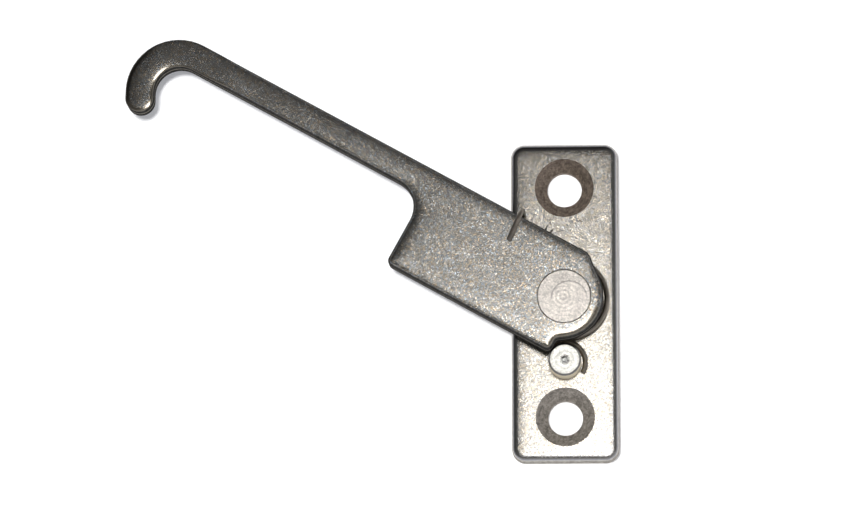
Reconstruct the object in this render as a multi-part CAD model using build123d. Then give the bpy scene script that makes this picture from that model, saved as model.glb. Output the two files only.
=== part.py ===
from build123d import *
from math import acos, atan2, cos, degrees, hypot, radians, sin
import os

# Window restrictor: a steel plate that is screwed to the window, a hooked arm that turns on a
# flush rivet, a stop pin beside the rivet and a wire torsion spring that pushes the arm to the pin.
# The origin is the middle of the screw pattern on the back of the plate, and also the turning axis.
# X runs across the plate, Y along the plate, and Z points away from the window.

# Plate
plate_width = 15.0
plate_length = 45.0
plate_thickness = 3.0
plate_corner_radius = 1.9
plate_face_rounding = 0.55
plate_back_break = 0.2

# Countersunk screw holes in the plate
screw_spacing = 32.5
screw_hole_radius = 2.45
countersink_radius = 4.15
countersink_angle = 90.0

# Rivet that the arm turns on
shank_radius = 2.0
tail_radius = 2.9
tail_depth = 0.9
tail_recess = 0.05
collar_radius = 3.6
journal_radius = 2.5
head_radius = 3.75
head_thickness = 1.17
head_edge_break = 0.1
bearing_play = 0.05
head_gap = 0.03

# Stop pin
pin_offset = 8.6
pin_radius = 2.3
pin_top = 6.5
pin_chamfer = 0.25
pin_shank_radius = 1.6
pin_tail_radius = 2.3
pin_tail_depth = 0.7
pin_pip_radius = 0.45
pin_pip_height = 0.12
pin_dish_radius = 0.95
pin_dish_depth = 0.05

# Arm, drawn along its own length with the hook on the left and the turning axis at zero
arm_angle = -29.0
arm_underside = 5.5
arm_thickness = 3.0
arm_face_rounding = 0.45
arm_top_edge = 7.05
arm_low_edge = -7.75
bar_low_edge = 3.23
shoulder_x = -24.18
shoulder_radius = 4.0
shoulder_corner_radius = 0.9
hook_outer_radius = 7.45
hook_outer_x = -61.75
hook_inner_radius = 3.65
hook_inner_x = -61.55
tip_x = -66.12
tip_y = -3.82
tip_radius = 2.0
lobe_x = -0.45
lobe_y = -0.17
lobe_radius = 5.95
lobe_back_angle = 55.0
stop_face_x = 1.9
stop_corner_radius = 0.8
notch_radius = 0.5
bore_radius = journal_radius + bearing_play
counterbore_radius = head_radius + bearing_play
counterbore_depth = head_thickness + head_gap

# Torsion spring, bent from one wire
wire_radius = 0.375
coil_x = 0.45
coil_y = 0.3
coil_radius = 5.5
coil_whole_turns = 2
spring_lift = 0.05
pin_wrap_radius = 2.85
pin_wrap_end = -32.0
leg_edge_x = -10.95
leg_edge_y = 7.85
leg_top_x = -10.5
leg_top_y = 3.2
leg_bend_radius = 0.9
leg_lower_gap = 0.06
leg_upper_gap = 0.07

# A little more than any body is tall, for cuts that run right through
cut_through = 12.0

arm_top = arm_underside + arm_thickness


def polar(x, y, radius, angle):
    """The point at an angle in degrees on a circle."""
    return (x + radius * cos(radians(angle)), y + radius * sin(radians(angle)))


def outer_tangent(x1, y1, r1, x2, y2, r2):
    """Angle on both circles of the line that touches them on the same side."""
    run = hypot(x2 - x1, y2 - y1)
    heading = degrees(atan2(y2 - y1, x2 - x1))
    return heading - degrees(acos((r1 - r2) / run))


def inner_tangent(x1, y1, r1, x2, y2, r2):
    """Angle on the first circle of the line that crosses between two circles."""
    run = hypot(x2 - x1, y2 - y1)
    heading = degrees(atan2(y2 - y1, x2 - x1))
    return heading - degrees(acos((r1 + r2) / run))


def cylinder(radius, low, high):
    """A round body on the turning axis between two heights."""
    return extrude(Plane.XY.offset(low) * Circle(radius), high - low)


def base_plate():
    """The plate with its rounded front edge, two screw holes and two pressed-in pin holes."""
    outline = RectangleRounded(plate_width, plate_length, plate_corner_radius)
    body = extrude(outline, plate_thickness)
    body = fillet(body.faces().sort_by(Axis.Z)[-1].edges(), plate_face_rounding)
    body = chamfer(body.faces().sort_by(Axis.Z)[0].edges(), plate_back_break)
    for side in (-1, 1):
        spot = Pos(0, side * screw_spacing / 2, plate_thickness)
        body -= spot * CounterSinkHole(
            screw_hole_radius, countersink_radius, plate_thickness * 2, countersink_angle
        )
    body -= cylinder(shank_radius, -1, plate_thickness + 1)
    body -= Cone(
        tail_radius, shank_radius, tail_depth, align=(Align.CENTER, Align.CENTER, Align.MIN)
    )
    body -= Pos(0, -pin_offset, 0) * cylinder(pin_shank_radius, -1, plate_thickness + 1)
    body -= Pos(0, -pin_offset, 0) * Cone(
        pin_tail_radius, pin_shank_radius, pin_tail_depth, align=(Align.CENTER, Align.CENTER, Align.MIN)
    )
    return body


def pivot_rivet():
    """The rivet: a spread tail, a collar inside the spring, a journal and a flush head."""
    tail_slope = (tail_radius - shank_radius) / tail_depth
    tail_start = tail_radius - tail_slope * tail_recess
    journal_top = arm_top - head_thickness
    profile = Polyline(
        (0, tail_recess),
        (tail_start, tail_recess),
        (shank_radius, tail_depth),
        (shank_radius, plate_thickness),
        (collar_radius, plate_thickness),
        (collar_radius, arm_underside - bearing_play),
        (journal_radius, arm_underside - bearing_play),
        (journal_radius, journal_top),
        (head_radius, journal_top),
        (head_radius, arm_top - head_edge_break),
        (head_radius - head_edge_break, arm_top),
        (0, arm_top),
        close=True,
    )
    return revolve(Plane.XZ * make_face(profile), Axis.Z)


def stop_pin():
    """The pin that the arm rests against, with a chamfered top and a small raised centre."""
    tail_slope = (pin_tail_radius - pin_shank_radius) / pin_tail_depth
    tail_start = pin_tail_radius - tail_slope * tail_recess
    dish_floor = pin_top - pin_dish_depth
    profile = Polyline(
        (0, tail_recess),
        (tail_start, tail_recess),
        (pin_shank_radius, pin_tail_depth),
        (pin_shank_radius, plate_thickness),
        (pin_radius, plate_thickness),
        (pin_radius, pin_top - pin_chamfer),
        (pin_radius - pin_chamfer, pin_top),
        (pin_dish_radius, pin_top),
        (pin_dish_radius - pin_dish_depth, dish_floor),
        (pin_pip_radius, dish_floor),
        (pin_pip_radius / 2, dish_floor + pin_pip_height),
        (0, dish_floor + pin_pip_height),
        close=True,
    )
    return Pos(0, -pin_offset, 0) * revolve(Plane.XZ * make_face(profile), Axis.Z)


def arm_outline():
    """The flat outline of the arm, drawn anticlockwise from the start of the hook."""
    hook_outer_y = arm_top_edge - hook_outer_radius
    hook_inner_y = bar_low_edge - hook_inner_radius

    # The back of the hook runs straight into the round tip
    back = outer_tangent(hook_outer_x, hook_outer_y, hook_outer_radius, tip_x, tip_y, tip_radius)
    back = back % 360
    back_start = polar(hook_outer_x, hook_outer_y, hook_outer_radius, back)
    back_end = polar(tip_x, tip_y, tip_radius, back)
    outer_middle = polar(hook_outer_x, hook_outer_y, hook_outer_radius, (90 + back) / 2)

    # The throat of the hook runs straight from the tip into the inner arc
    throat = inner_tangent(hook_inner_x, hook_inner_y, hook_inner_radius, tip_x, tip_y, tip_radius)
    throat = throat % 360
    throat_end = polar(hook_inner_x, hook_inner_y, hook_inner_radius, throat)
    throat_start = polar(tip_x, tip_y, tip_radius, throat - 180)
    tip_middle = polar(tip_x, tip_y, tip_radius, (back + throat + 180) / 2)
    inner_middle = polar(hook_inner_x, hook_inner_y, hook_inner_radius, (90 + throat) / 2)

    # The shoulder between the bar and the wide part
    fillet_x = shoulder_x - shoulder_radius
    fillet_y = bar_low_edge - shoulder_radius
    corner_x = shoulder_x + shoulder_corner_radius
    corner_y = arm_low_edge + shoulder_corner_radius

    # The rounded corner that rests against the stop pin
    stop_x = stop_face_x - stop_corner_radius
    stop_y = arm_low_edge + stop_corner_radius

    # The lobe around the turning axis and the notch that clears the stop pin
    lobe_low = polar(lobe_x, lobe_y, lobe_radius, -lobe_back_angle)
    notch_slope = radians(90 - lobe_back_angle)
    drop = (lobe_low[0] - stop_face_x) * sin(notch_slope) / cos(notch_slope)
    notch_y = lobe_low[1] - drop
    setback = notch_radius * cos(notch_slope) / (1 + sin(notch_slope))
    notch_in = (stop_face_x, notch_y - setback)
    notch_out = (
        stop_face_x + setback * cos(notch_slope),
        notch_y + setback * sin(notch_slope),
    )
    notch_middle = polar(
        stop_face_x + notch_radius, notch_y - setback, notch_radius, (180 + 90 + degrees(notch_slope)) / 2
    )
    reach = hypot(-lobe_x, arm_top_edge - lobe_y)
    lobe_high_angle = degrees(atan2(arm_top_edge - lobe_y, -lobe_x)) - degrees(
        acos(lobe_radius / reach)
    )
    lobe_high = polar(lobe_x, lobe_y, lobe_radius, lobe_high_angle)
    lobe_middle = polar(lobe_x, lobe_y, lobe_radius, (lobe_high_angle - lobe_back_angle) / 2)

    edges = [
        Line((0, arm_top_edge), (hook_outer_x, arm_top_edge)),
        ThreePointArc((hook_outer_x, arm_top_edge), outer_middle, back_start),
        Line(back_start, back_end),
        ThreePointArc(back_end, tip_middle, throat_start),
        Line(throat_start, throat_end),
        ThreePointArc(throat_end, inner_middle, (hook_inner_x, bar_low_edge)),
        Line((hook_inner_x, bar_low_edge), (fillet_x, bar_low_edge)),
        ThreePointArc(
            (fillet_x, bar_low_edge),
            polar(fillet_x, fillet_y, shoulder_radius, 45),
            (shoulder_x, fillet_y),
        ),
        Line((shoulder_x, fillet_y), (shoulder_x, corner_y)),
        ThreePointArc(
            (shoulder_x, corner_y),
            polar(corner_x, corner_y, shoulder_corner_radius, 225),
            (corner_x, arm_low_edge),
        ),
        Line((corner_x, arm_low_edge), (stop_x, arm_low_edge)),
        ThreePointArc(
            (stop_x, arm_low_edge),
            polar(stop_x, stop_y, stop_corner_radius, -45),
            (stop_face_x, stop_y),
        ),
        Line((stop_face_x, stop_y), notch_in),
        ThreePointArc(notch_in, notch_middle, notch_out),
        Line(notch_out, lobe_low),
        ThreePointArc(lobe_low, lobe_middle, lobe_high),
        Line(lobe_high, (0, arm_top_edge)),
    ]
    return make_face(edges)


def restrictor_arm():
    """The hooked arm with a rounded upper edge and a stepped bore for the rivet."""
    body = extrude(arm_outline(), arm_thickness)
    body = fillet(body.faces().sort_by(Axis.Z)[-1].edges(), arm_face_rounding)
    body = Pos(0, 0, arm_underside) * body
    body -= cylinder(bore_radius, 0, cut_through)
    body -= cylinder(counterbore_radius, arm_top - counterbore_depth, cut_through)
    return Rot(0, 0, arm_angle) * body


def torsion_spring():
    """The wire spring: a hook round the pin, a coil round the collar and a leg over the arm."""
    lower_z = arm_underside - wire_radius - leg_lower_gap
    upper_z = arm_top + wire_radius + leg_upper_gap
    start_z = plate_thickness + wire_radius + spring_lift

    # The coil leaves toward the pin at one end and along the arm at the other
    leave = inner_tangent(coil_x, coil_y, coil_radius, 0, -pin_offset, pin_wrap_radius) % 360
    turn = radians(arm_angle)
    edge_x = leg_edge_x * cos(turn) - leg_edge_y * sin(turn)
    edge_y = leg_edge_x * sin(turn) + leg_edge_y * cos(turn)
    top_x = leg_top_x * cos(turn) - leg_top_y * sin(turn)
    top_y = leg_top_x * sin(turn) + leg_top_y * cos(turn)
    reach = hypot(edge_x - coil_x, edge_y - coil_y)
    heading = degrees(atan2(edge_y - coil_y, edge_x - coil_x))
    sweep_angle = (leave - heading - degrees(acos(coil_radius / reach))) % 360
    sweep_angle += 360 * coil_whole_turns
    pitch = (lower_z - start_z) * 360 / sweep_angle
    helix = Helix(pitch, lower_z - start_z, coil_radius, lefthand=True)
    path = Pos(coil_x, coil_y, start_z) * Rot(0, 0, leave) * helix
    low_disc = Plane(origin=path @ 0, z_dir=path % 0) * Circle(wire_radius)
    high_disc = Plane(origin=path @ 1, z_dir=path % 1) * Circle(wire_radius)
    wire = sweep(low_disc, path, is_frenet=True)

    # From the low end a straight run crosses to the pin, and a hook goes round it
    gap = hypot(coil_x, coil_y + pin_offset)
    crossing = (gap**2 - (coil_radius + pin_wrap_radius) ** 2) ** 0.5
    away = Vector(*polar(0, 0, 1, leave + 90))
    wire += extrude(low_disc, crossing, dir=away)
    low_disc = Pos(away * crossing) * low_disc
    pin_axis = Axis((0, -pin_offset, 0), (0, 0, -1))
    wire += revolve(low_disc, pin_axis, revolution_arc=leave - 180 - pin_wrap_end)

    # From the high end the leg runs under the arm and turns up past its edge
    leg_start = path @ 1
    leg = Vector(edge_x - leg_start.X, edge_y - leg_start.Y, 0)
    straight = leg.length - leg_bend_radius
    along = leg.normalized()
    up = Vector(0, 0, 1)
    wire += extrude(high_disc, straight, dir=along)
    high_disc = Pos(along * straight) * high_disc
    low_bend = Axis(leg_start + along * straight + up * leg_bend_radius, along.cross(up) * -1)
    wire += revolve(high_disc, low_bend, revolution_arc=-90)
    high_disc = high_disc.rotate(low_bend, -90)

    # It climbs past the edge of the arm and lies back on the upper face
    climb = upper_z - lower_z - 2 * leg_bend_radius
    wire += extrude(high_disc, climb, dir=up)
    high_disc = Pos(up * climb) * high_disc
    back = Vector(top_x - edge_x, top_y - edge_y, 0)
    inward = back.normalized()
    high_bend = Axis(
        Vector(edge_x, edge_y, upper_z - leg_bend_radius) + inward * leg_bend_radius, inward.cross(up)
    )
    wire += revolve(high_disc, high_bend, revolution_arc=-90)
    high_disc = high_disc.rotate(high_bend, -90)
    wire += extrude(high_disc, back.length - leg_bend_radius, dir=inward)
    return wire


os.makedirs("parts", exist_ok=True)
for name, make in (
    ("base_plate", base_plate),
    ("pivot_rivet", pivot_rivet),
    ("stop_pin", stop_pin),
    ("restrictor_arm", restrictor_arm),
    ("torsion_spring", torsion_spring),
):
    body = make()
    body.label = name
    export_step(body, "parts/" + name + ".step")
    box = body.bounding_box()
    print(name, round(body.volume, 2), box.min, box.max)
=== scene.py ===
import math

import bmesh
import bpy
import numpy as np
from mathutils import Matrix, Vector
from mathutils.geometry import delaunay_2d_cdt


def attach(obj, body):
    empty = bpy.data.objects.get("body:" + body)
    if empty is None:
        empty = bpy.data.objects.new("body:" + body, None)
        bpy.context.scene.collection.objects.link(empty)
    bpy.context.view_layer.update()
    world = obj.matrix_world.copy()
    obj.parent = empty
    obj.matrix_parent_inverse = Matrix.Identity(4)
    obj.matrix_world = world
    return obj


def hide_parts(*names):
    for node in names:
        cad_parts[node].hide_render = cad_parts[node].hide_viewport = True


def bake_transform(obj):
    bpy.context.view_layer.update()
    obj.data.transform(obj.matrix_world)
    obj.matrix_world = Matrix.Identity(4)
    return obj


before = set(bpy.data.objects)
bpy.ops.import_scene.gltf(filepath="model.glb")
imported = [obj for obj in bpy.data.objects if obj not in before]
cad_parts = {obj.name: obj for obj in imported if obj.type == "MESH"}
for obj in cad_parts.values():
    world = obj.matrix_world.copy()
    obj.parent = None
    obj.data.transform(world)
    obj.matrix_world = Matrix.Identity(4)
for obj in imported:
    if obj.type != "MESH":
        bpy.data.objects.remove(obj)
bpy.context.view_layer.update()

MM = 0.001

# Sizes
# In millimetres and degrees, with the turning axis at x = y = 0 and the plate's back at z = 0.
# The arm is drawn level with its hook on the left, and then turned to its place at rest.
ARM_TURN = -29.0
ARM_LOW, ARM_HIGH = 5.5, 8.5
ARM_TOP_EDGE = 7.05
# circles of the arm's outline, each as x, y, radius
HOOK_OUTSIDE = (-61.75, -0.4, 7.45)
HOOK_INSIDE = (-61.55, -0.42, 3.65)
HOOK_TIP = (-66.12, -3.82, 2.0)
NECK = (-28.18, -0.77, 4.0)
SHOULDER_CORNER = (-23.28, -6.85, 0.9)
LOW_CORNER = (1.1, -6.95, 0.8)
LOBE = (-0.45, -0.17, 5.95)
# where the lobe starts, and the notch that rests against the stop pin
LOBE_START = -55.0
NOTCH_WALL_X, NOTCH_ROUND, NOTCH_SLOPE = 1.9, 0.5, 35.0
# the rivet's stepped bore in the arm
HEAD_BORE, SHANK_BORE, HEAD_SEAT = 3.8, 2.55, 7.3

PLATE_HIGH = 3.0
PLATE_HALF_WIDTH, PLATE_HALF_LENGTH, PLATE_CORNER = 7.5, 22.5, 1.9
PLATE_FOOT_CHAMFER = 0.2
SCREW_Y, SCREW_BORE, SINK_RADIUS, SINK_FLOOR = 16.25, 2.45, 4.15, 1.3
# blind sockets in the plate's back, each as radius, inner radius, depth
RIVET_SOCKET = (2.9, 2.0, 0.9)
PIN_SOCKET = (2.3, 1.6, 0.7)
PIN_Y = -8.6

WIRE_RADIUS, WIRE_BEND = 0.375, 0.9
COIL = (0.45, 0.3, 5.5)
COIL_LOW, COIL_HIGH, WIRE_OVER_ARM = 3.425, 5.065, 8.945
PIN_HOOK_RADIUS, PIN_HOOK_END = 2.85, -32.0


# Node helpers
class Graph:
    """A material's node tree with short calls for the nodes used here."""

    def __init__(self, name):
        self.mat = bpy.data.materials.new(name)
        self.mat.use_nodes = True
        self.tree = self.mat.node_tree
        self.tree.nodes.clear()
        self.out = self.tree.nodes.new("ShaderNodeOutputMaterial")

    def node(self, kind, **sockets):
        n = self.tree.nodes.new(kind)
        for key, value in sockets.items():
            self.put(n.inputs[key.replace("_", " ")], value)
        return n

    def put(self, socket, value):
        if hasattr(value, "is_output"):
            self.tree.links.new(value, socket)
        else:
            socket.default_value = value

    def math(self, operation, a, b=None, c=None):
        n = self.tree.nodes.new("ShaderNodeMath")
        n.operation = operation
        for socket, value in zip(n.inputs, (a, b, c)):
            if value is not None:
                self.put(socket, value)
        return n.outputs[0]

    def product(self, a, b):
        return self.math("MULTIPLY", a, b)

    def scaled(self, value, factor, added):
        """The value times the factor, plus what is added."""
        return self.math("MULTIPLY_ADD", value, factor, added)

    def noise(self, vector, scale, detail=2.0, rough=0.55, warp=0.0):
        n = self.node("ShaderNodeTexNoise", Scale=scale, Detail=detail, Roughness=rough, Distortion=warp)
        self.put(n.inputs["Vector"], vector)
        return n.outputs[0]

    def ramp(self, value, stops):
        """A colour or a grey for each place on the value's way, straight in between."""
        n = self.tree.nodes.new("ShaderNodeValToRGB")
        items = n.color_ramp.elements
        while len(items) > 1:
            items.remove(items[-1])
        for i, (at, colour) in enumerate(stops):
            item = items[0] if i == 0 else items.new(at)
            item.position = at
            c = colour if hasattr(colour, "__len__") else (colour,) * 3
            item.color = (*c[:3], 1.0)
        self.put(n.inputs[0], value)
        return n.outputs[0]

    def band(self, value, low, high):
        """0 up to low and 1 from high, smooth between them; low may be the larger one."""
        n = self.tree.nodes.new("ShaderNodeMapRange")
        n.interpolation_type = "SMOOTHSTEP"
        for key, v in (("Value", value), ("From Min", low), ("From Max", high)):
            self.put(n.inputs[key], v)
        return n.outputs[0]

    def mix(self, factor, a, b, kind="MIX"):
        n = self.tree.nodes.new("ShaderNodeMix")
        n.data_type = "RGBA"
        n.blend_type = kind
        self.put(n.inputs[0], factor)
        self.put(n.inputs[6], a)
        self.put(n.inputs[7], b)
        return n.outputs[2]

    def times(self, *colours):
        total = colours[0]
        for colour in colours[1:]:
            total = self.mix(1.0, total, colour, "MULTIPLY")
        return total

    def xyz(self, vector):
        return self.node("ShaderNodeSeparateXYZ", Vector=vector).outputs

    def place(self):
        return self.tree.nodes.new("ShaderNodeTexCoord").outputs["Object"]

    def upright(self):
        """How far the surface faces up: 1 on a level face and 0 on a wall."""
        return self.xyz(self.tree.nodes.new("ShaderNodeTexCoord").outputs["Normal"])[2]

    def bump(self, height, distance):
        return self.node("ShaderNodeBump", Distance=distance, Height=height).outputs[0]

    def cells(self, vector, scale):
        """A random brightness and a random hue for each small grain."""
        n = self.node("ShaderNodeTexVoronoi", Scale=scale)
        self.put(n.inputs["Vector"], vector)
        return self.xyz(n.outputs["Color"])[:2]

    def distance(self, aside, above):
        return self.math("SQRT", self.scaled(aside, aside, self.product(above, above)))

    def scratch(self, start, end, width):
        """1 on a straight scratch between two points of the object, in millimetres, and 0 away from it."""
        way = Vector(end) - Vector(start)
        n = self.node("ShaderNodeMapping", Vector=self.place())
        n.vector_type = "TEXTURE"
        n.inputs["Location"].default_value = (start[0] * MM, start[1] * MM, 0)
        n.inputs["Rotation"].default_value = (0, 0, math.atan2(way.y, way.x))
        along, across, _ = self.xyz(n.outputs[0])
        wander = self.scaled(self.noise(self.place(), 1500.0), 0.16 * MM, -0.08 * MM)
        off = self.math("ABSOLUTE", self.math("ADD", across, wander))
        length = way.length * MM
        ends = self.product(self.band(along, 0, length * 0.3), self.band(along, length, length * 0.8))
        return self.product(ends, self.band(off, width * MM, width * MM * 0.3))

    def metal(self, colour, roughness, normal, matt=None, share=None):
        """Bare metal, with a matt surface over the given share of it."""
        n = self.node(
            "ShaderNodeBsdfPrincipled", Base_Color=colour, Roughness=roughness, Metallic=1.0, Normal=normal
        )
        if matt is not None:
            scale = self.node("ShaderNodeBsdfDiffuse", Color=matt, Normal=normal)
            both = self.node("ShaderNodeMixShader", Fac=share)
            self.tree.links.new(n.outputs[0], both.inputs[1])
            self.tree.links.new(scale.outputs[0], both.inputs[2])
            n = both
        self.tree.links.new(n.outputs[0], self.out.inputs[0])


def rgb(r, g, b):
    """A colour written as on a screen, from 0 to 255, in linear light."""
    linear = [(v / 255) / 12.92 if v < 10.3 else ((v / 255 + 0.055) / 1.055) ** 2.4 for v in (r, g, b)]
    return (*linear, 1.0)


# Steel
# bare steel: the colour of scratches, and of the painted reflection on the walls' burnished line
BARE_STEEL_AND_SHEEN = rgb(236, 226, 208)


def tumbled_steel(name, colour, warm, cool, grains, rough, grit_depth, wall, worn, worn_and_sheen_tint, scratches=()):
    """Tumbled and lightly tarnished sheet steel: bright and dull grains, cloudy stains and a few
    scratches; a dull matt sheared wall whose dark colour is also painted shade, with a bright line
    round it that is a painted reflection of a burnished band; and a falling edge that is rubbed
    smoother and less tarnished in places, with a tint there that paints the colour of its highlight and
    reflection."""
    g = Graph(name)
    place = g.place()
    x, y, z = g.xyz(place)
    light, hue = g.cells(place, 7000.0)
    broad, _ = g.cells(place, 2800.0)
    fine = g.noise(place, 5200.0, 2.5, 0.65)
    grit = g.noise(place, 8200.0, 1.0, 0.5)
    mottle = g.noise(place, 1900.0, 2.0, 0.6)
    cloud = g.noise(place, 420.0, 3.0, 0.6)
    patch = g.noise(place, 110.0, 2.0, 0.5)
    body = g.times(
        g.ramp(hue, ((0.0, cool), (0.40, colour), (0.60, colour), (1.0, warm))),
        g.ramp(light, ((0.0, grains[0]), (0.5, 0.93), (0.86, 1.07), (1.0, grains[1]))),
        g.ramp(broad, ((0.0, 0.93), (0.7, 1.0), (1.0, 1.09))),
        g.ramp(mottle, ((0.34, 0.93), (0.5, 1.0), (0.66, 1.08))),
        g.ramp(cloud, ((0.34, 0.92), (0.5, 0.98), (0.66, 1.03))),
        g.ramp(patch, ((0.36, 0.94), (0.64, 1.05))),
    )
    for start, end, width, strength in scratches:
        body = g.mix(g.product(g.scratch(start, end, width), strength), body, BARE_STEEL_AND_SHEEN)

    # where the falling edge is rubbed: less tarnish and a smoother surface, and a tint there that paints
    # the colour of the highlight (warm on the arm) and of the edge's reflection (cool on the plate)
    upright = g.upright()
    fade = 1.5
    rubbed = 0.0
    for x_worn, y_worn, reach, level, steep in worn:
        aside = g.math("SUBTRACT", x, x_worn * MM)
        above = g.math("SUBTRACT", y, y_worn * MM)
        near = g.band(g.distance(aside, above), (reach + fade) * MM, reach * MM)
        rubbed = g.scaled(near, g.band(upright, level, steep), rubbed)
    body = g.mix(g.product(rubbed, 0.8), body, g.times(colour, worn_and_sheen_tint))
    spread = g.scaled(cloud, 0.06, g.scaled(fine, 0.06, rough - 0.06))
    spread = g.product(spread, g.scaled(rubbed, -0.50, 1.0))
    height = g.product(g.scaled(grit, 0.35, fine), g.scaled(rubbed, -0.75, 1.0))

    # the sheared wall, from where the rounded edge turns down: dull matt steel, coloured dark enough to
    # paint its shade as well
    stretched = g.node("ShaderNodeMapping", Vector=place, Scale=(1, 1, 0.10)).outputs[0]
    tear = g.noise(stretched, 2600.0, 2.0, 0.7)
    ragged = g.scaled(tear, 0.12 * MM, g.math("ADD", z, -0.06 * MM))
    lean = g.scaled(tear, 0.16, g.math("ADD", upright, -0.08))
    on_wall = g.band(lean, wall["from"], wall["from"] - 0.14)
    line_low, line_high = (v * MM for v in wall["line"])
    soft = 0.08 * MM
    # the bright line round the wall is a painted reflection of a burnished band
    line = g.product(g.band(ragged, line_low - soft, line_low), g.band(ragged, line_high + soft, line_high))
    scale = g.times(colour, g.ramp(tear, ((0.3, wall["dark"]), (0.7, wall["light"]))))
    scale = g.mix(g.product(line, wall["painted_sheen"]), scale, BARE_STEEL_AND_SHEEN)
    g.metal(body, spread, g.bump(height, grit_depth), scale, on_wall)
    return g.mat


def turned_steel(name, colour, centre, pitch, pits, cut, second=None, rim=None):
    """Faced end of a turned part: fine rings from the tool, a faint off-centre step and small dark
    pits, with the side left dull and pale. Places and sizes are in millimetres."""
    g = Graph(name)
    place = g.place()
    y = g.xyz(place)[1]

    def radius_from(cx, cy):
        moved = g.node("ShaderNodeMapping", Vector=place, Location=(-cx * MM, -cy * MM, 0)).outputs[0]
        return g.distance(*g.xyz(moved)[:2])

    r = radius_from(*centre)
    lathe = g.math("SINE", g.product(r, 2 * math.pi / (pitch * MM)))
    grain, _ = g.cells(place, 5600.0)
    fine = g.noise(place, 4600.0, 3.0, 0.65)
    cloud = g.noise(place, 900.0, 3.0, 0.6)
    groove = g.product(lathe, g.scaled(g.band(r, 2.6 * MM, 0.4 * MM), 0.34, cut))
    shade = g.scaled(groove, 0.55, 1.0)
    if second:
        cx, cy, radius = second
        r_step = radius_from(cx, cy)
        soft = 0.16
        inside = g.band(r_step, (radius - soft) * MM, radius * MM)
        step = g.product(inside, g.band(r_step, (radius + soft) * MM, radius * MM))
        upper_half = g.band(y, -0.9 * MM, 0.6 * MM)
        shade = g.product(shade, g.scaled(g.product(step, upper_half), -0.50, 1.0))
    body = g.times(
        colour,
        shade,
        g.ramp(grain, ((0.0, 0.72), (0.5, 0.96), (1.0, 1.22))),
        g.ramp(cloud, ((0.35, 0.86), (0.5, 1.0), (0.65, 1.10))),
    )
    torn = g.noise(place, 2600.0, 2.0, 0.7, 1.5)
    for x_pit, y_pit, wide, dark in pits:
        inside = g.band(radius_from(x_pit, y_pit), wide * MM, wide * MM * 0.75)
        ragged = g.product(inside, g.band(torn, 0.40, 0.58))
        body = g.mix(g.product(ragged, dark), body, rgb(66, 60, 64))
    # a dark grey ring painted from the edge of the top outwards: painted shade where the chamfer turns away
    # from the light
    if rim:
        inner, outer, dark = rim
        body = g.mix(g.product(g.band(r, inner * MM, outer * MM), dark), body, rgb(92, 88, 86))
    dull = g.times(rgb(240, 226, 196), g.ramp(cloud, ((0.35, 0.86), (0.5, 1.0), (0.65, 1.05))))
    normal = g.bump(g.scaled(fine, 0.8, groove), 0.004 * MM)
    g.metal(body, g.scaled(fine, 0.08, 0.26), normal, dull, g.band(g.upright(), 0.35, 0.15))
    return g.mat


def wire_steel(name, colour):
    """Drawn spring wire: dull, with faint draw marks and a little tarnish."""
    g = Graph(name)
    place = g.place()
    stain = g.noise(place, 900.0, 3.0, 0.6)
    fine = g.noise(place, 6000.0, 2.0, 0.6)
    body = g.times(colour, g.ramp(stain, ((0.3, 0.65), (0.5, 0.95), (0.7, 1.2))))
    g.metal(body, g.scaled(stain, 0.2, 0.22), g.bump(fine, 0.006 * MM))
    return g.mat


def sunk_steel(name, colour, matt):
    """Cut steel inside the screw holes: brown, blotchy and dull."""
    g = Graph(name)
    place = g.place()
    grain, _ = g.cells(place, 5000.0)
    fine = g.noise(place, 4200.0, 2.5, 0.65)
    blot = g.noise(place, 1300.0, 3.0, 0.6)
    body = g.times(
        colour,
        g.ramp(grain, ((0.0, 0.70), (0.5, 0.98), (1.0, 1.35))),
        g.ramp(blot, ((0.36, 0.72), (0.5, 1.0), (0.64, 1.20))),
    )
    g.metal(body, g.scaled(blot, 0.1, 0.42), g.bump(fine, 0.006 * MM), g.times(body, matt), 0.6)
    return g.mat


# worn places are x, y, reach, and how upright the face is where the rubbing starts and where it is full;
# scratches are start, end, width, strength
# the walls' dark and light colours are dull steel and also painted shade; their line is a painted
# reflection of a burnished band
arm_mat = tumbled_steel(
    "arm_steel", colour=rgb(170, 167, 161), warm=rgb(185, 168, 143), cool=rgb(159, 167, 174),
    grains=(0.56, 1.9), rough=0.26, grit_depth=0.0022 * MM,
    wall={"line": (6.85, 7.05), "painted_sheen": 0.30, "dark": 0.05, "light": 0.13, "from": 0.90},
    worn=[(-54.9, 28.3, 7.0, 0.9985, 0.9940), (1.2, -4.8, 3.9, 0.9998, 0.9976)],
    # the tint of the rubbed places paints the warm colour of their highlight
    worn_and_sheen_tint=rgb(255, 246, 232),
    scratches=[((-34.99, 26.6), (-36.23, 24.78), 0.10, 0.6), ((-16.9, 3.9), (-18.47, 2.63), 0.09, 0.45)],
)
plate_mat = tumbled_steel(
    "plate_steel", colour=rgb(194, 188, 178), warm=rgb(202, 189, 168), cool=rgb(188, 189, 190),
    grains=(0.55, 1.8), rough=0.25, grit_depth=0.0003 * MM,
    wall={"line": (0.15, 0.45), "painted_sheen": 0.30, "dark": 0.50, "light": 0.85, "from": 0.62},
    # the tint of the rubbed edge paints the cool colour of its reflection
    worn=[(0.0, 0.0, 40.0, 0.9996, 0.9978)], worn_and_sheen_tint=rgb(238, 243, 255),
)
# the two holes take a darker and a lighter copy of one brown steel: painted shade on the upper hole,
# painted light on the lower one nearer the highlight
upper_hole_shaded_mat = sunk_steel("upper_hole_steel_painted_shade", rgb(155, 140, 127), rgb(172, 172, 170))
lower_hole_lit_mat = sunk_steel("lower_hole_steel_painted_lit", rgb(182, 174, 165), rgb(176, 176, 173))
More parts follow.
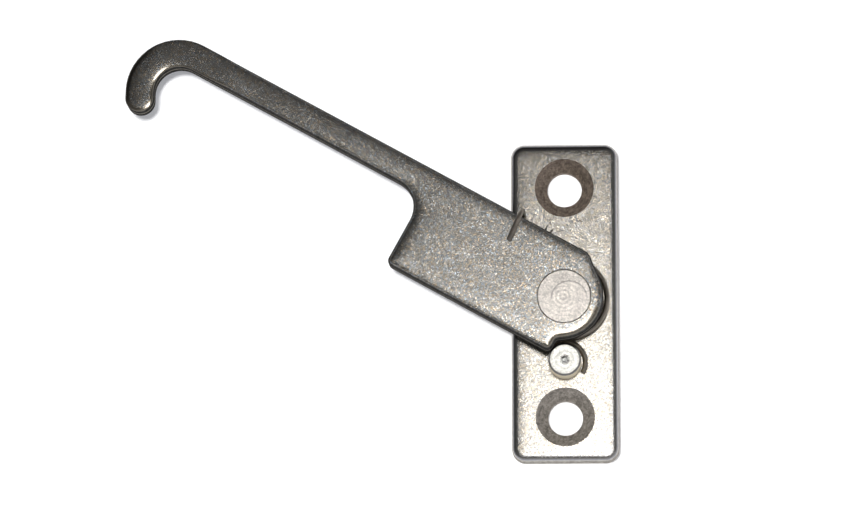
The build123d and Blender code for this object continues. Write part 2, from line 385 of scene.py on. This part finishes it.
# pits are x, y, radius, darkness
rivet_mat = turned_steel(
    "rivet_steel", rgb(213, 206, 198), centre=(-0.15, -0.12), pitch=0.56,
    pits=[(-0.15, -0.35, 0.30, 0.3)], cut=0.06, second=(0.7, -0.37, 2.5),
)
# the pin's rim is a painted dark ring of shade round the edge of its top
pin_mat = turned_steel(
    "pin_steel", rgb(224, 222, 214), centre=(0.0, PIN_Y), pitch=0.70,
    pits=[(0.0, PIN_Y + 0.05, 0.85, 0.70)], cut=0.16, rim=(1.96, 2.10, 0.85),
)
wire_mat = wire_steel("spring_wire", rgb(131, 124, 113))
burr_mat = wire_steel("burr_steel", rgb(70, 66, 62))


def dress(node, material):
    """Gives a CAD node one material all over."""
    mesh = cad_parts[node].data
    mesh.materials.clear()
    mesh.materials.append(material)
    for p in mesh.polygons:
        p.material_index = 0


dress("restrictor_arm", arm_mat)
dress("base_plate", plate_mat)
dress("pivot_rivet", rivet_mat)
dress("stop_pin", pin_mat)
dress("torsion_spring", wire_mat)


# Blanks with softly falling edges
def arc(cx, cy, radius, start, end, step=7.0):
    """Points along an arc between two angles in degrees, both ends included."""
    count = max(3, int(abs(end - start) / step) + 1)
    angles = np.radians(np.linspace(start, end, count))
    return [(cx + radius * math.cos(a), cy + radius * math.sin(a)) for a in angles]


def circle_points(x, y, radius):
    return np.array(arc(x, y, radius, 0, 360, 5.0)[:-1])


def tangent_angle(x1, y1, r1, x2, y2, r2):
    """Angle on the first circle of the line that touches both; where the line crosses between them,
    r2 is negative."""
    heading = math.atan2(y2 - y1, x2 - x1)
    return math.degrees(heading - math.acos((r1 - r2) / math.hypot(x2 - x1, y2 - y1))) % 360


def divided(points, step):
    """The closed outline with no run longer than the step, and no point twice."""
    out = []
    for (x1, y1), (x2, y2) in zip(points, points[1:] + points[:1]):
        parts = max(1, math.ceil(math.hypot(x2 - x1, y2 - y1) / step))
        out += [(x1 + (x2 - x1) * i / parts, y1 + (y2 - y1) * i / parts) for i in range(parts)]
    pairs = zip(out, out[1:] + out[:1])
    return np.array([p for p, q in pairs if math.hypot(p[0] - q[0], p[1] - q[1]) > 1e-4])


def arm_outline():
    """The arm's outline, anticlockwise, with the hook on the left and the turning axis at zero."""
    tip_x, tip_y, tip_radius = HOOK_TIP
    back = tangent_angle(*HOOK_OUTSIDE, *HOOK_TIP)
    throat = tangent_angle(*HOOK_INSIDE, tip_x, tip_y, -tip_radius)
    # the notch falls from the start of the lobe to its own rounded corner
    lobe_x, lobe_y, lobe_radius = LOBE
    slope, start = math.radians(NOTCH_SLOPE), math.radians(LOBE_START)
    low_x, low_y = lobe_x + lobe_radius * math.cos(start), lobe_y + lobe_radius * math.sin(start)
    notch_y = low_y - (low_x - NOTCH_WALL_X) * math.tan(slope)
    setback = NOTCH_ROUND * math.cos(slope) / (1 + math.sin(slope))
    # the lobe ends where the line to the top edge touches it
    aside, above = -lobe_x, ARM_TOP_EDGE - lobe_y
    top = math.degrees(math.atan2(above, aside) - math.acos(lobe_radius / math.hypot(aside, above)))
    return [
        (0.0, ARM_TOP_EDGE),
        *arc(*HOOK_OUTSIDE, 90, back),
        *arc(*HOOK_TIP, back, throat + 180),
        *arc(*HOOK_INSIDE, throat, 90),
        *arc(*NECK, 90, 0),
        *arc(*SHOULDER_CORNER, 180, 270),
        *arc(*LOW_CORNER, 270, 360),
        *arc(NOTCH_WALL_X + NOTCH_ROUND, notch_y - setback, NOTCH_ROUND, 180, 90 + NOTCH_SLOPE),
        *arc(*LOBE, LOBE_START, top),
    ]


def plate_outline():
    """The plate's outline with its round corners, anticlockwise."""
    x, y = PLATE_HALF_WIDTH - PLATE_CORNER, PLATE_HALF_LENGTH - PLATE_CORNER
    points = []
    for cx, cy, start in ((x, y, 0), (-x, y, 90), (-x, -y, 180), (x, -y, 270)):
        points += arc(cx, cy, PLATE_CORNER, start, start + 90)
    return points


def depth(points, loop):
    """How far in from the outline each point is, and the way further in."""
    ends = np.roll(loop, -1, 0) - loop
    far, way = [], []
    for part in np.array_split(points, max(1, len(points) // 800)):
        from_start = part[:, None] - loop[None]
        t = np.clip((from_start * ends).sum(2) / (ends**2).sum(1), 0, 1)
        gap = from_start - t[..., None] * ends
        size = np.sqrt((gap**2).sum(2))
        nearest = size.argmin(1)
        rows = np.arange(len(part))
        far.append(size[rows, nearest])
        way.append(gap[rows, nearest] / np.maximum(size[rows, nearest], 1e-9)[:, None])
    return np.concatenate(far), np.concatenate(way)


def fall(d, rounding, crown, reach):
    """How far the face lies below its middle at d mm in from the edge, and how steep it is there."""
    d = np.asarray(d, float)
    soft = np.minimum(np.sqrt(d * d + 0.12**2), reach)
    drop = crown * (np.log(reach / soft) - 1 + soft / reach)
    slope = crown * (1 / soft - 1 / reach) * d / soft
    inside = np.clip(rounding - d, 0, rounding)
    rise = np.sqrt(np.maximum(rounding**2 - inside**2, 1e-8))
    return drop + rounding - rise, slope + inside / rise


def smooth(value, low, high):
    """0 up to low and 1 from high, smooth between them; low may be the larger one."""
    t = np.clip((value - low) / (high - low), 0, 1)
    return t * t * (3 - 2 * t)


def arm_edges(points):
    """Rounding and crown of the arm's upper face: fuller round the lobe and at the shoulder, and
    crisper round the hook."""
    x, y = points.T
    lobe = smooth(x, -1.5, 3.5) * smooth(y, 5.5, 2.0)
    hook = smooth(x, -55.0, -60.0)
    shoulder = smooth(x, -19.5, -22.0) * smooth(y, 4.0, 1.5)
    return 0.40 - 0.04 * lobe - 0.28 * hook, 0.058 + 0.030 * lobe - 0.036 * hook + 0.04 * shoulder


def plate_edges(points):
    """Rounding and crown of the plate's upper face, the same all round."""
    return np.full(len(points), 0.46), np.full(len(points), 0.066)


def inside_of(points, loop):
    """True where a point is inside the outline."""
    x1, y1 = loop.T
    x2, y2 = np.roll(loop, -1, 0).T
    found = []
    for part in np.array_split(points, max(1, len(points) // 2000)):
        px, py = part[:, :1], part[:, 1:]
        cross = (y1 > py) != (y2 > py)
        at = x1 + (py - y1) * (x2 - x1) / np.where(y2 == y1, 1e-12, y2 - y1)
        found.append((cross & (px < at)).sum(1) % 2 == 1)
    return np.concatenate(found)


def turned(point, degrees):
    """The point turned about the z axis."""
    a = math.radians(degrees)
    x, y, z = point
    return x * math.cos(a) - y * math.sin(a), x * math.sin(a) + y * math.cos(a), z


def unit(rows):
    """Each row at length 1."""
    return rows / np.linalg.norm(rows, axis=1)[:, None]


def in_scene(name, data):
    """A new object in the scene that shows the given mesh, lamp or camera."""
    obj = bpy.data.objects.new(name, data)
    bpy.context.scene.collection.objects.link(obj)
    return obj


class Blank:
    """A plate of one thickness as one closed mesh: a falling upper face, straight walls and bored holes."""

    OUTLINE_STEP = 0.28
    # rows of points follow the outline at these depths, and an even net of points fills the middle
    ROWS = (0.015, 0.05, 0.10, 0.16, 0.23, 0.31, 0.40, 0.52, 0.68, 0.90, 1.2, 1.6, 2.1)
    NET_STEP, NET_FROM = 0.9, 2.4
    # how far rows and net keep from the edge of a hole
    ROW_GAP, NET_GAP = 0.15, 0.35

    def __init__(self, outline, low, high, edges, reach):
        self.loop = divided(outline, self.OUTLINE_STEP)
        self.low, self.high = low, high
        self.edges, self.reach = edges, reach
        self.verts, self.faces, self.normals, self.slots = [], [], [], []
        ahead = unit(np.roll(self.loop, -1, 0) - self.loop)
        behind = unit(self.loop - np.roll(self.loop, 1, 0))
        run = unit(ahead + behind)
        self.inward = np.stack((-run[:, 1], run[:, 0]), 1)

    def vert(self, x, y, z):
        self.verts.append((x, y, z))
        return len(self.verts) - 1

    def ring(self, circle, z):
        return [self.vert(x, y, z) for x, y in circle]

    def face(self, ids, normals, slot=0):
        self.faces.append(ids)
        self.normals += normals
        self.slots.append(slot)

    def wall(self, upper, lower, normals, slot=0):
        """Joins two rings of vertices; both run the same way round."""
        n = len(upper)
        for i in range(n):
            j = (i + 1) % n
            directions = [normals[j], normals[i], normals[i], normals[j]]
            self.face([upper[j], upper[i], lower[i], lower[j]], directions, slot)

    def sheet(self, loops, extra, height, up):
        """Fills the region inside the first loop and outside the others; returns each loop's vertices."""
        points = [p for loop in loops for p in loop]
        edges, start = [], 0
        for loop in loops:
            edges += [(start + i, start + (i + 1) % len(loop)) for i in range(len(loop))]
            start += len(loop)
        flat = [Vector(p) for p in points] + [Vector(p) for p in extra]
        made, _, tris, origin, _, _ = delaunay_2d_cdt(flat, edges, [], 0, 1e-6)
        spot = np.array([tuple(v) for v in made])
        tris = [t for t in tris if len(t) == 3]
        corners = spot[np.array(tris)]
        one, two = corners[:, 1] - corners[:, 0], corners[:, 2] - corners[:, 0]
        area = np.abs(one[:, 0] * two[:, 1] - one[:, 1] * two[:, 0])
        good = inside_of(corners.mean(1), loops[0]) & (area > 1e-5)
        for loop in loops[1:]:
            good &= ~inside_of(corners.mean(1), loop)
        z, lean = height(spot)
        ids = [self.vert(p[0], p[1], h) for p, h in zip(spot, z)]
        for tri, ok in zip(tris, good):
            if ok:
                order = tri if up else tri[::-1]
                self.face([ids[i] for i in order], [tuple(lean[i]) for i in order])
        back = {source: ids[i] for i, sources in enumerate(origin) for source in sources}
        out, start = [], 0
        for loop in loops:
            out.append([back[start + i] for i in range(len(loop))])
            start += len(loop)
        return out

    def face_points(self, holes):
        """The points that carry the upper face's fall, between the outline and the holes."""
        loop = self.loop

        def clear(points, gap):
            keep = np.full(len(points), True)
            for x, y, steps in holes:
                keep &= np.hypot(points[:, 0] - x, points[:, 1] - y) > steps[0][0] + gap
            return keep

        extra = []
        for d in self.ROWS:
            row = loop + self.inward * d
            row = row[inside_of(row, loop)]
            # a row's points that another stretch of the outline is nearer to are left out
            extra.append(row[(depth(row, loop)[0] > d * 0.985) & clear(row, self.ROW_GAP)])
        step = self.NET_STEP
        across, along = (np.arange(a + 0.5, b, step) for a, b in zip(loop.min(0), loop.max(0)))
        net = np.stack(np.meshgrid(across, along), -1)
        net[1::2, :, 0] += step / 2
        net = net.reshape(-1, 2)
        net = net[inside_of(net, loop)]
        extra.append(net[(depth(net, loop)[0] > self.NET_FROM) & clear(net, self.NET_GAP)])
        return np.concatenate(extra)

    def upper(self, points):
        """Height and direction of the upper face; on the outline itself it faces straight out."""
        far, way = depth(points, self.loop)
        drop, slope = fall(far, *self.edges(points), self.reach)
        lean = unit(np.concatenate((-way * slope[:, None], np.ones((len(points), 1))), 1))
        edge = far < 1e-4
        if edge.any():
            gap = np.linalg.norm(points[edge][:, None] - self.loop[None], axis=2).argmin(1)
            lean[edge] = np.concatenate((-self.inward[gap], np.zeros((edge.sum(), 1))), 1)
        return self.high - drop, lean

    def under(self, points):
        """Height and direction of the flat lower face."""
        return np.full(len(points), self.low), np.tile((0.0, 0.0, -1.0), (len(points), 1))

    def build(self, name, holes, below, foot=0.0, turn=0.0, sockets=(), hole_slot=0):
        """holes lists (x, y, [(radius, z), ...]) from the upper face down; below lists the lower face's
        holes, and sockets those of them that end blind, as (number, inner radius, depth)."""
        circles = [circle_points(x, y, steps[0][0]) for x, y, steps in holes]
        lower_loops = [circle_points(*hole) for hole in below]
        tops = self.sheet([self.loop, *circles], self.face_points(holes), self.upper, True)
        soles = self.sheet([self.loop + self.inward * foot, *lower_loops], [], self.under, False)

        # the outer wall, with a small chamfer at its foot
        out = [(-v[0], -v[1], 0.0) for v in self.inward]
        if foot:
            following = self.ring(self.loop, self.low + foot)
            self.wall(tops[0], following, out)
            self.wall(following, soles[0], [(o[0] * 0.7, o[1] * 0.7, -0.7) for o in out])
        else:
            self.wall(tops[0], soles[0], out)

        # the stepped holes
        for number, ((x, y, steps), circle, top) in enumerate(zip(holes, circles, tops[1:])):
            slot = hole_slot + number if hole_slot else 0
            previous = top
            way = (circle - (x, y)) / steps[0][0]
            for (r1, z1), (r2, z2) in zip(steps, steps[1:]):
                run, rise = r2 - r1, z2 - z1
                size = math.hypot(run, rise)
                nx, nz = rise / size, -run / size
                tilted = [(w[0] * nx, w[1] * nx, nz) for w in way]
                if z2 == self.low and (x, y, r2) in below:
                    following = soles[1 + below.index((x, y, r2))]
                else:
                    following = self.ring(way * r2 + (x, y), z2)
                self.wall(following, previous, tilted, slot)
                previous = following

        # the blind sockets in the back
        for k, radius, z in sockets:
            x, y, wide = below[k]
            rim = lower_loops[k]
            shrunk = self.ring((rim - (x, y)) * (radius / wide) + (x, y), z)
            tilted = [((x - p[0]) / wide, (y - p[1]) / wide, -0.7) for p in rim]
            self.wall(soles[1 + k], shrunk, tilted, hole_slot)
            self.face(shrunk[::-1], [(0.0, 0.0, -1.0)] * len(shrunk), hole_slot)

        mesh = bpy.data.meshes.new(name)
        mesh.from_pydata([tuple(c * MM for c in turned(v, turn)) for v in self.verts], [], self.faces)
        for polygon, slot in zip(mesh.polygons, self.slots):
            polygon.material_index = slot
            polygon.use_smooth = True
        mesh.normals_split_custom_set([Vector(turned(n, turn)).normalized() for n in self.normals])
        return in_scene(name, mesh)


bore_steps = [(HEAD_BORE, ARM_HIGH), (HEAD_BORE, HEAD_SEAT), (SHANK_BORE, HEAD_SEAT), (SHANK_BORE, ARM_LOW)]
arm = Blank(arm_outline(), ARM_LOW, ARM_HIGH, arm_edges, reach=2.6).build(
    "arm_blank", holes=[(0.0, 0.0, bore_steps)], below=[(0.0, 0.0, SHANK_BORE)], turn=ARM_TURN
)
arm.data.materials.append(arm_mat)
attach(arm, "arm")
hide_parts("restrictor_arm")


def burr(name, along, height, lean):
    """A small torn spike standing out of the arm's upper edge, at a place along it in millimetres."""
    foot = ((-0.16, 7.6), (0.14, 7.5), (0.12, 8.05), (-0.13, 8.1))
    base = [(along + x, ARM_TOP_EDGE - 0.15, z) for x, z in foot]
    half_way = along + lean * 0.4
    middle = [((x + half_way) / 2, ARM_TOP_EDGE + height * 0.55, z * 0.6 + 3.15) for x, _, z in base]
    tip = (along + lean, ARM_TOP_EDGE + height, 7.88)
    faces = [(3, 2, 1, 0)]
    for i in range(4):
        j = (i + 1) % 4
        faces += [(i, j, 4 + j, 4 + i), (4 + i, 4 + j, 8)]
    mesh = bpy.data.meshes.new(name)
    mesh.from_pydata([tuple(c * MM for c in turned(p, ARM_TURN)) for p in (*base, *middle, tip)], [], faces)
    mesh.materials.append(burr_mat)
    obj = in_scene(name, mesh)
    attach(obj, "arm")


burr("edge_burr_one", -6.8, 0.80, -0.12)
burr("edge_burr_two", -6.05, 0.70, 0.22)

screw_steps = [(SINK_RADIUS, PLATE_HIGH), (SCREW_BORE, SINK_FLOOR), (SCREW_BORE, 0.0)]
plate = Blank(plate_outline(), 0.0, PLATE_HIGH, plate_edges, reach=2.8).build(
    "plate_blank",
    holes=[(0.0, SCREW_Y, screw_steps), (0.0, -SCREW_Y, screw_steps)],
    below=[
        (0.0, SCREW_Y, SCREW_BORE), (0.0, -SCREW_Y, SCREW_BORE),
        (0.0, 0.0, RIVET_SOCKET[0]), (0.0, PIN_Y, PIN_SOCKET[0]),
    ],
    foot=PLATE_FOOT_CHAMFER, sockets=((2, *RIVET_SOCKET[1:]), (3, *PIN_SOCKET[1:])), hole_slot=1,
)
# the screw holes get the painted-shade and the painted-light copies of their steel
for material in (plate_mat, upper_hole_shaded_mat, lower_hole_lit_mat):
    plate.data.materials.append(material)
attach(plate, "base")
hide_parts("base_plate")


# Spring
def spring_route():
    """The wire's middle line in millimetres, and each point's share of the arm's turn."""
    coil_x, coil_y, coil_radius = COIL
    # where the wire turns up at the arm's edge, and where it ends on the arm's face
    edge, end = np.array((-5.7713, 12.1745)), np.array((-7.6321, 7.8893))
    # from the stop pin round to the coil
    leave = tangent_angle(*COIL, 0.0, PIN_Y, -PIN_HOOK_RADIUS)
    hook = arc(0.0, PIN_Y, PIN_HOOK_RADIUS, PIN_HOOK_END, leave - 180, 6.0)
    route = [(x, y, COIL_LOW, 0.0) for x, y in hook]
    # round the collar, rising, to where a straight run to the arm's edge leaves the coil
    heading = math.degrees(math.atan2(edge[1] - coil_y, edge[0] - coil_x))
    reach = math.hypot(edge[0] - coil_x, edge[1] - coil_y)
    total = (leave - heading - math.degrees(math.acos(coil_radius / reach))) % 360 + 720
    turns = arc(*COIL, leave, leave - total, 5.0)
    for i, (x, y) in enumerate(turns):
        t = i / (len(turns) - 1)
        route.append((x, y, COIL_LOW + (COIL_HIGH - COIL_LOW) * t, t))
    # up past the edge and over onto the face, with a round bend at both corners
    start = np.array(turns[-1])
    along = (edge - start) / np.linalg.norm(edge - start)
    inward = (end - edge) / np.linalg.norm(end - edge)
    quarter = np.radians(np.linspace(0, 90, 10))
    for a in quarter:
        x, y = edge - along * WIRE_BEND * (1 - math.sin(a))
        route.append((x, y, COIL_HIGH + WIRE_BEND * (1 - math.cos(a)), 1.0))
    for a in quarter:
        x, y = edge + inward * WIRE_BEND * (1 - math.cos(a))
        route.append((x, y, WIRE_OVER_ARM - WIRE_BEND * (1 - math.sin(a)), 1.0))
    route.append((*end, WIRE_OVER_ARM, 1.0))
    return np.array(route)


def tube(name, route, radius, sides=16):
    """A round wire along the route with slightly broken ends."""
    broken, narrow = 0.06, radius * 0.8
    middle = route[:, :3]
    share = list(route[:, 3])
    ahead = unit(np.gradient(middle, axis=0))
    side_way = np.array((0.0, 0.0, 1.0))
    rings = []
    for point, way in zip(middle, ahead):
        side_way = side_way - way * side_way.dot(way)
        side_way /= np.linalg.norm(side_way)
        rings.append((point, way, side_way.copy(), radius))
    first, last = rings[0], rings[-1]
    rings[0] = (first[0] + first[1] * broken, *first[1:])
    rings[-1] = (last[0] - last[1] * broken, *last[1:])
    rings = [(*first[:3], narrow)] + rings + [(*last[:3], narrow)]
    share = [share[0]] + share + [share[-1]]
    verts, weights, faces = [], [], []
    for (point, way, one, r), w in zip(rings, share):
        two = np.cross(way, one)
        for k in range(sides):
            a = 2 * math.pi * k / sides
            verts.append(tuple((point + (one * math.cos(a) + two * math.sin(a)) * r) * MM))
            weights.append(w)
    for i in range(len(rings) - 1):
        for k in range(sides):
            j = (k + 1) % sides
            faces.append((i * sides + k, i * sides + j, (i + 1) * sides + j, (i + 1) * sides + k))
    faces.append(tuple(range(sides))[::-1])
    faces.append(tuple(range((len(rings) - 1) * sides, len(rings) * sides)))
    mesh = bpy.data.meshes.new(name)
    mesh.from_pydata(verts, [], faces)
    for polygon in mesh.polygons:
        polygon.use_smooth = len(polygon.vertices) == 4
    return in_scene(name, mesh), np.array(weights, np.float32)


spring, share = tube("spring_wire_tube", spring_route(), WIRE_RADIUS)
spring.data.materials.append(wire_mat)
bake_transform(spring)
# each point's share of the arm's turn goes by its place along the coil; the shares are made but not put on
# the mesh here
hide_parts("torsion_spring")

# Stage
floor_mesh = bpy.data.meshes.new("floor")
bm = bmesh.new()
bmesh.ops.create_grid(bm, x_segments=2, y_segments=2, size=1.5)
bm.to_mesh(floor_mesh)
bm.free()
floor = in_scene("floor", floor_mesh)
floor.location = (0, 0, -0.02 * MM)
g = Graph("paper")
path = g.tree.nodes.new("ShaderNodeLightPath").outputs
seen = g.math("MAXIMUM", path["Is Glossy Ray"], path["Is Transmission Ray"])
seen = g.math("MAXIMUM", path["Is Camera Ray"], seen)
plain = g.node("ShaderNodeBsdfDiffuse", Color=rgb(244, 244, 244))
glow = g.node("ShaderNodeEmission", Color=(1, 1, 1, 1), Strength=g.product(seen, 0.10))
both = g.node("ShaderNodeAddShader")
g.tree.links.new(plain.outputs[0], both.inputs[0])
g.tree.links.new(glow.outputs[0], both.inputs[1])
g.tree.links.new(both.outputs[0], g.out.inputs[0])
floor_mesh.materials.append(g.mat)

# Camera
PIXELS_PER_MM, PICTURE_WIDTH = 7.1564, 842
DISTANCE, SENSOR = 650.0, 36.0
target = Vector((-19.961, 5.392, 8.0))
look = Vector((0.0497, -0.1607, 0.0))
look.z = math.sqrt(1 - look.x**2 - look.y**2)
side = Vector((0, 1, 0)).cross(look).normalized()
up = look.cross(side)
cam_data = bpy.data.cameras.new("camera")
cam_data.sensor_fit = "HORIZONTAL"
cam_data.sensor_width = SENSOR
cam_data.lens = PIXELS_PER_MM * DISTANCE / PICTURE_WIDTH * SENSOR
cam_data.clip_start = 0.01
cam_data.clip_end = 20.0
cam = in_scene("camera", cam_data)
view = Matrix((side, up, look)).transposed().to_4x4()
cam.matrix_world = Matrix.Translation((target + look * DISTANCE) * MM) @ view
bpy.context.scene.camera = cam


# Light
def soft_box(name, at, aim, size, energy, in_metal=True):
    """A round lamp at a place in millimetres; with in_metal off, no metal mirrors it."""
    data = bpy.data.lights.new(name, "AREA")
    data.shape = "DISK"
    data.size = size * MM
    data.energy = energy
    lamp = in_scene(name, data)
    lamp.location = Vector(at) * MM
    lamp.rotation_euler = (Vector(at) - Vector(aim)).to_track_quat("Z", "Y").to_euler()
    lamp.visible_camera = False
    lamp.visible_glossy = in_metal


soft_box("key", (8, 35, 650), (0, -20, 0), size=90, energy=0.27)
soft_box("paper_light", (-62, -18, 645), (-20, 5, 0), size=80, energy=3.9, in_metal=False)

world = bpy.data.worlds.new("room")
world.use_nodes = True
sky, link = world.node_tree.nodes, world.node_tree.links.new


def change(value, low, high, before, after):
    """A smooth change from one level to another as the value goes from low to high."""
    n = sky.new("ShaderNodeMapRange")
    n.interpolation_type = "SMOOTHSTEP"
    for key, v in (("From Min", low), ("From Max", high), ("To Min", before), ("To Max", after)):
        n.inputs[key].default_value = v
    link(value, n.inputs["Value"])
    return n.outputs[0]


def total(a, b):
    n = sky.new("ShaderNodeMath")
    n.operation = "ADD"
    link(a, n.inputs[0])
    link(b, n.inputs[1])
    return n.outputs[0]


# how far a direction leans to the near right, and how far it rises
ray = sky.new("ShaderNodeTexCoord").outputs["Generated"]
slant = sky.new("ShaderNodeVectorMath")
slant.operation = "DOT_PRODUCT"
slant.inputs[1].default_value = (0.45, -0.89, 0.0)
link(ray, slant.inputs[0])
lean = slant.outputs["Value"]
split = sky.new("ShaderNodeSeparateXYZ")
link(ray, split.inputs[0])
rise = split.outputs[2]
# the room is darkest beyond the hook and the top of the plate, and brightest on the near side and
# along its walls
near_side = change(lean, -0.40, -0.12, 0.016, 0.10)
window_side = change(lean, -0.08, 0.35, 0.0, 0.30)
walls = change(rise, 0.50, 0.86, 0.40, 0.0)
link(total(total(near_side, walls), window_side), sky["Background"].inputs["Strength"])
tint = sky.new("ShaderNodeMix")
tint.data_type = "RGBA"
tint.inputs[6].default_value = (0.88, 0.91, 1, 1)
tint.inputs[7].default_value = (1, 1, 1, 1)
link(change(rise, 0.55, 0.90, 0.0, 1.0), tint.inputs[0])
link(tint.outputs[2], sky["Background"].inputs["Color"])
# straight behind the object the room is plain white
backdrop = sky.new("ShaderNodeBackground")
backdrop.inputs["Color"].default_value = (1, 1, 1, 1)
behind = sky.new("ShaderNodeMixShader")
link(sky.new("ShaderNodeLightPath").outputs["Is Camera Ray"], behind.inputs[0])
link(sky["Background"].outputs[0], behind.inputs[1])
link(backdrop.outputs[0], behind.inputs[2])
link(behind.outputs[0], sky["World Output"].inputs["Surface"])
bpy.context.scene.world = world
bpy.context.scene.view_settings.view_transform = "Standard"
